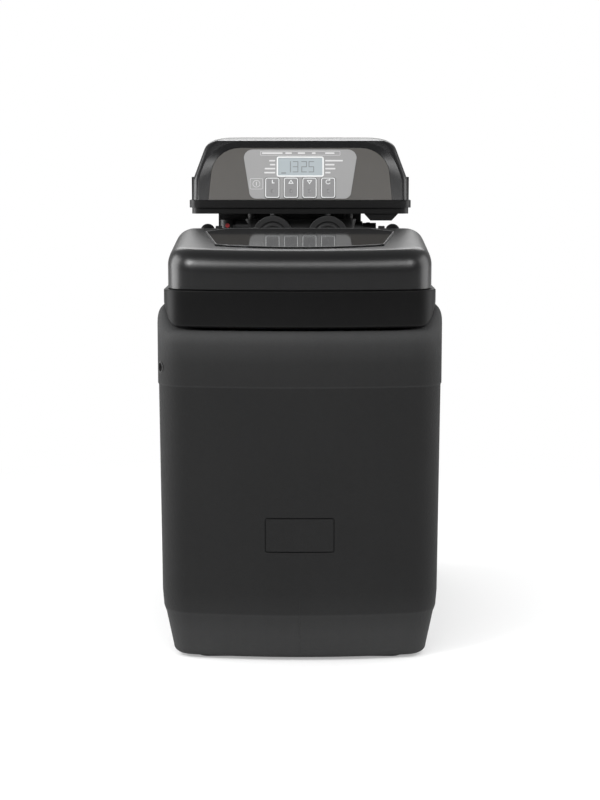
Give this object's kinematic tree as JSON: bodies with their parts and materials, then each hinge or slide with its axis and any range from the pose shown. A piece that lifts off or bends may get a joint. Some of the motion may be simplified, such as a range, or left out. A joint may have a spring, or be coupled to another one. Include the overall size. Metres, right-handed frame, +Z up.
{
  "type": "water softener",
  "caption": "Compact cabinet water softener: charcoal salt tank with a hinged black lid, and behind it a rotary valve under a rounded control head with a display and push buttons.",
  "frame": {"origin": "under the middle of the tank's footprint, on the floor", "axes": "+Z up, front towards -Y, +X to the right seen from the front"},
  "size_m": [0.317, 0.5, 0.5834],
  "materials": {
    "charcoal_tank": "fine moulded grain",
    "black_rubber": "matte",
    "black_trim": "satin",
    "black_lid": "satin",
    "gloss_plate": "polished",
    "steel": "satin",
    "vessel_shell": "wound fibre under gel coat",
    "resin_beads": "beads",
    "white_plastic": "moulded",
    "blue_plastic": "moulded",
    "tube_plastic": "smooth",
    "black_valve": "glass-filled moulding",
    "red_plastic": "moulded",
    "disc_ceramic": "lapped",
    "brass": "machined",
    "black_tray": "satin",
    "motor_can": "satin",
    "gear_plastic": "moulded",
    "gloss_hood": "polished",
    "fascia_grey": "satin",
    "overlay_silver": "satin film",
    "display_window": "polished",
    "board_green": "solder mask",
    "button_grey": "satin film"
  },
  "bodies": {
    "cabinet": {"tank": "charcoal_tank", "tank_base": "charcoal_tank", "overflow_grommet": "black_rubber", "collar": "black_trim", "hinge_pins": "steel", "vessel": "vessel_shell", "vessel_boot": "black_rubber", "resin_bed": "resin_beads", "riser_tube": "white_plastic", "lower_distributor": "white_plastic", "upper_distributor": "white_plastic", "neck_seal": "black_rubber", "brine_well": "white_plastic", "well_cap": "black_trim", "brine_valve": "blue_plastic", "pickup_pipe": "white_plastic", "brine_tube": "tube_plastic", "valve_body": "black_valve", "meter_cap": "black_valve", "injector_cap": "black_valve", "cap_seals": "black_rubber", "injector": "red_plastic", "fixed_disc": "disc_ceramic", "stem_seal": "black_rubber", "bonnet": "black_valve", "bonnet_screws": "steel", "inlet_adapter": "brass", "outlet_adapter": "brass", "adapter_seals": "black_rubber", "adapter_clips": "steel", "brine_elbow": "black_valve", "brine_release": "red_plastic", "tray": "black_tray", "tray_screws": "steel", "power_inlet": "black_tray", "motor_bracket": "steel", "motor": "motor_can", "motor_screws": "steel", "idler_axle": "steel"},
    "lid": {"lid": "black_lid", "lid_plate": "gloss_plate"},
    "rotor": {"drive_gear": "gear_plastic", "stem": "white_plastic", "moving_disc": "disc_ceramic"},
    "idler": {"idler_gear": "gear_plastic"},
    "motor_shaft": {"pinion": "brass"},
    "turbine": {"turbine": "white_plastic"},
    "float": {"float": "white_plastic"},
    "drain_elbow": {"drain_elbow": "black_valve"},
    "hood": {"hood": "gloss_hood", "fascia": "fascia_grey", "overlay": "overlay_silver", "display": "display_window", "circuit_board": "board_green", "board_screws": "steel", "switches": "black_trim"},
    "button_clock": {"button_clock": "button_grey"},
    "button_up": {"button_up": "button_grey"},
    "button_down": {"button_down": "button_grey"},
    "button_cycle": {"button_cycle": "button_grey"}
  },
  "joints": [
    {"name": "lid_hinge", "type": "hinge", "parent": "cabinet", "child": "lid", "pos_m": [0, 0.012, 0.469], "axis": [-1, 0, 0], "range_deg": [0, 85]},
    {"name": "hood_lift", "type": "slide", "parent": "cabinet", "child": "hood", "axis": [0, 0, 1], "range_m": [0, 0.12]},
    {"name": "valve_spin", "type": "hinge", "parent": "cabinet", "child": "rotor", "pos_m": [0, 0.118, 0.5], "axis": [0, 0, 1], "continuous": true},
    {"name": "idler_spin", "type": "hinge", "parent": "cabinet", "child": "idler", "pos_m": [0.045, 0.118, 0.5], "axis": [0, 0, 1], "continuous": true},
    {"name": "motor_spin", "type": "hinge", "parent": "cabinet", "child": "motor_shaft", "pos_m": [0.069, 0.118, 0.51], "axis": [0, 0, 1], "continuous": true},
    {"name": "turbine_spin", "type": "hinge", "parent": "cabinet", "child": "turbine", "pos_m": [-0.034, 0.052, 0.462], "axis": [0, 1, 0], "continuous": true},
    {"name": "float_slide", "type": "slide", "parent": "cabinet", "child": "float", "axis": [0, 0, 1], "range_m": [0, 0.06]},
    {"name": "drain_swivel", "type": "hinge", "parent": "cabinet", "child": "drain_elbow", "pos_m": [0.085, 0.072, 0.47], "axis": [-1, 0, 0], "range_deg": [0, 45]},
    {"name": "button_clock_press", "type": "slide", "parent": "hood", "child": "button_clock", "axis": [0, 0.9397, -0.342], "range_m": [0, 0.0015], "stiffness_N_per_m": 100, "springref_m": -0.0005},
    {"name": "button_up_press", "type": "slide", "parent": "hood", "child": "button_up", "axis": [0, 0.9397, -0.342], "range_m": [0, 0.0015], "stiffness_N_per_m": 100, "springref_m": -0.0005},
    {"name": "button_down_press", "type": "slide", "parent": "hood", "child": "button_down", "axis": [0, 0.9397, -0.342], "range_m": [0, 0.0015], "stiffness_N_per_m": 100, "springref_m": -0.0005},
    {"name": "button_cycle_press", "type": "slide", "parent": "hood", "child": "button_cycle", "axis": [0, 0.9397, -0.342], "range_m": [0, 0.0015], "stiffness_N_per_m": 100, "springref_m": -0.0005}
  ],
  "couplings": [
    {"joint": "idler_spin", "follows": "valve_spin", "ratio": -4},
    {"joint": "motor_spin", "follows": "valve_spin", "ratio": 12}
  ]
}
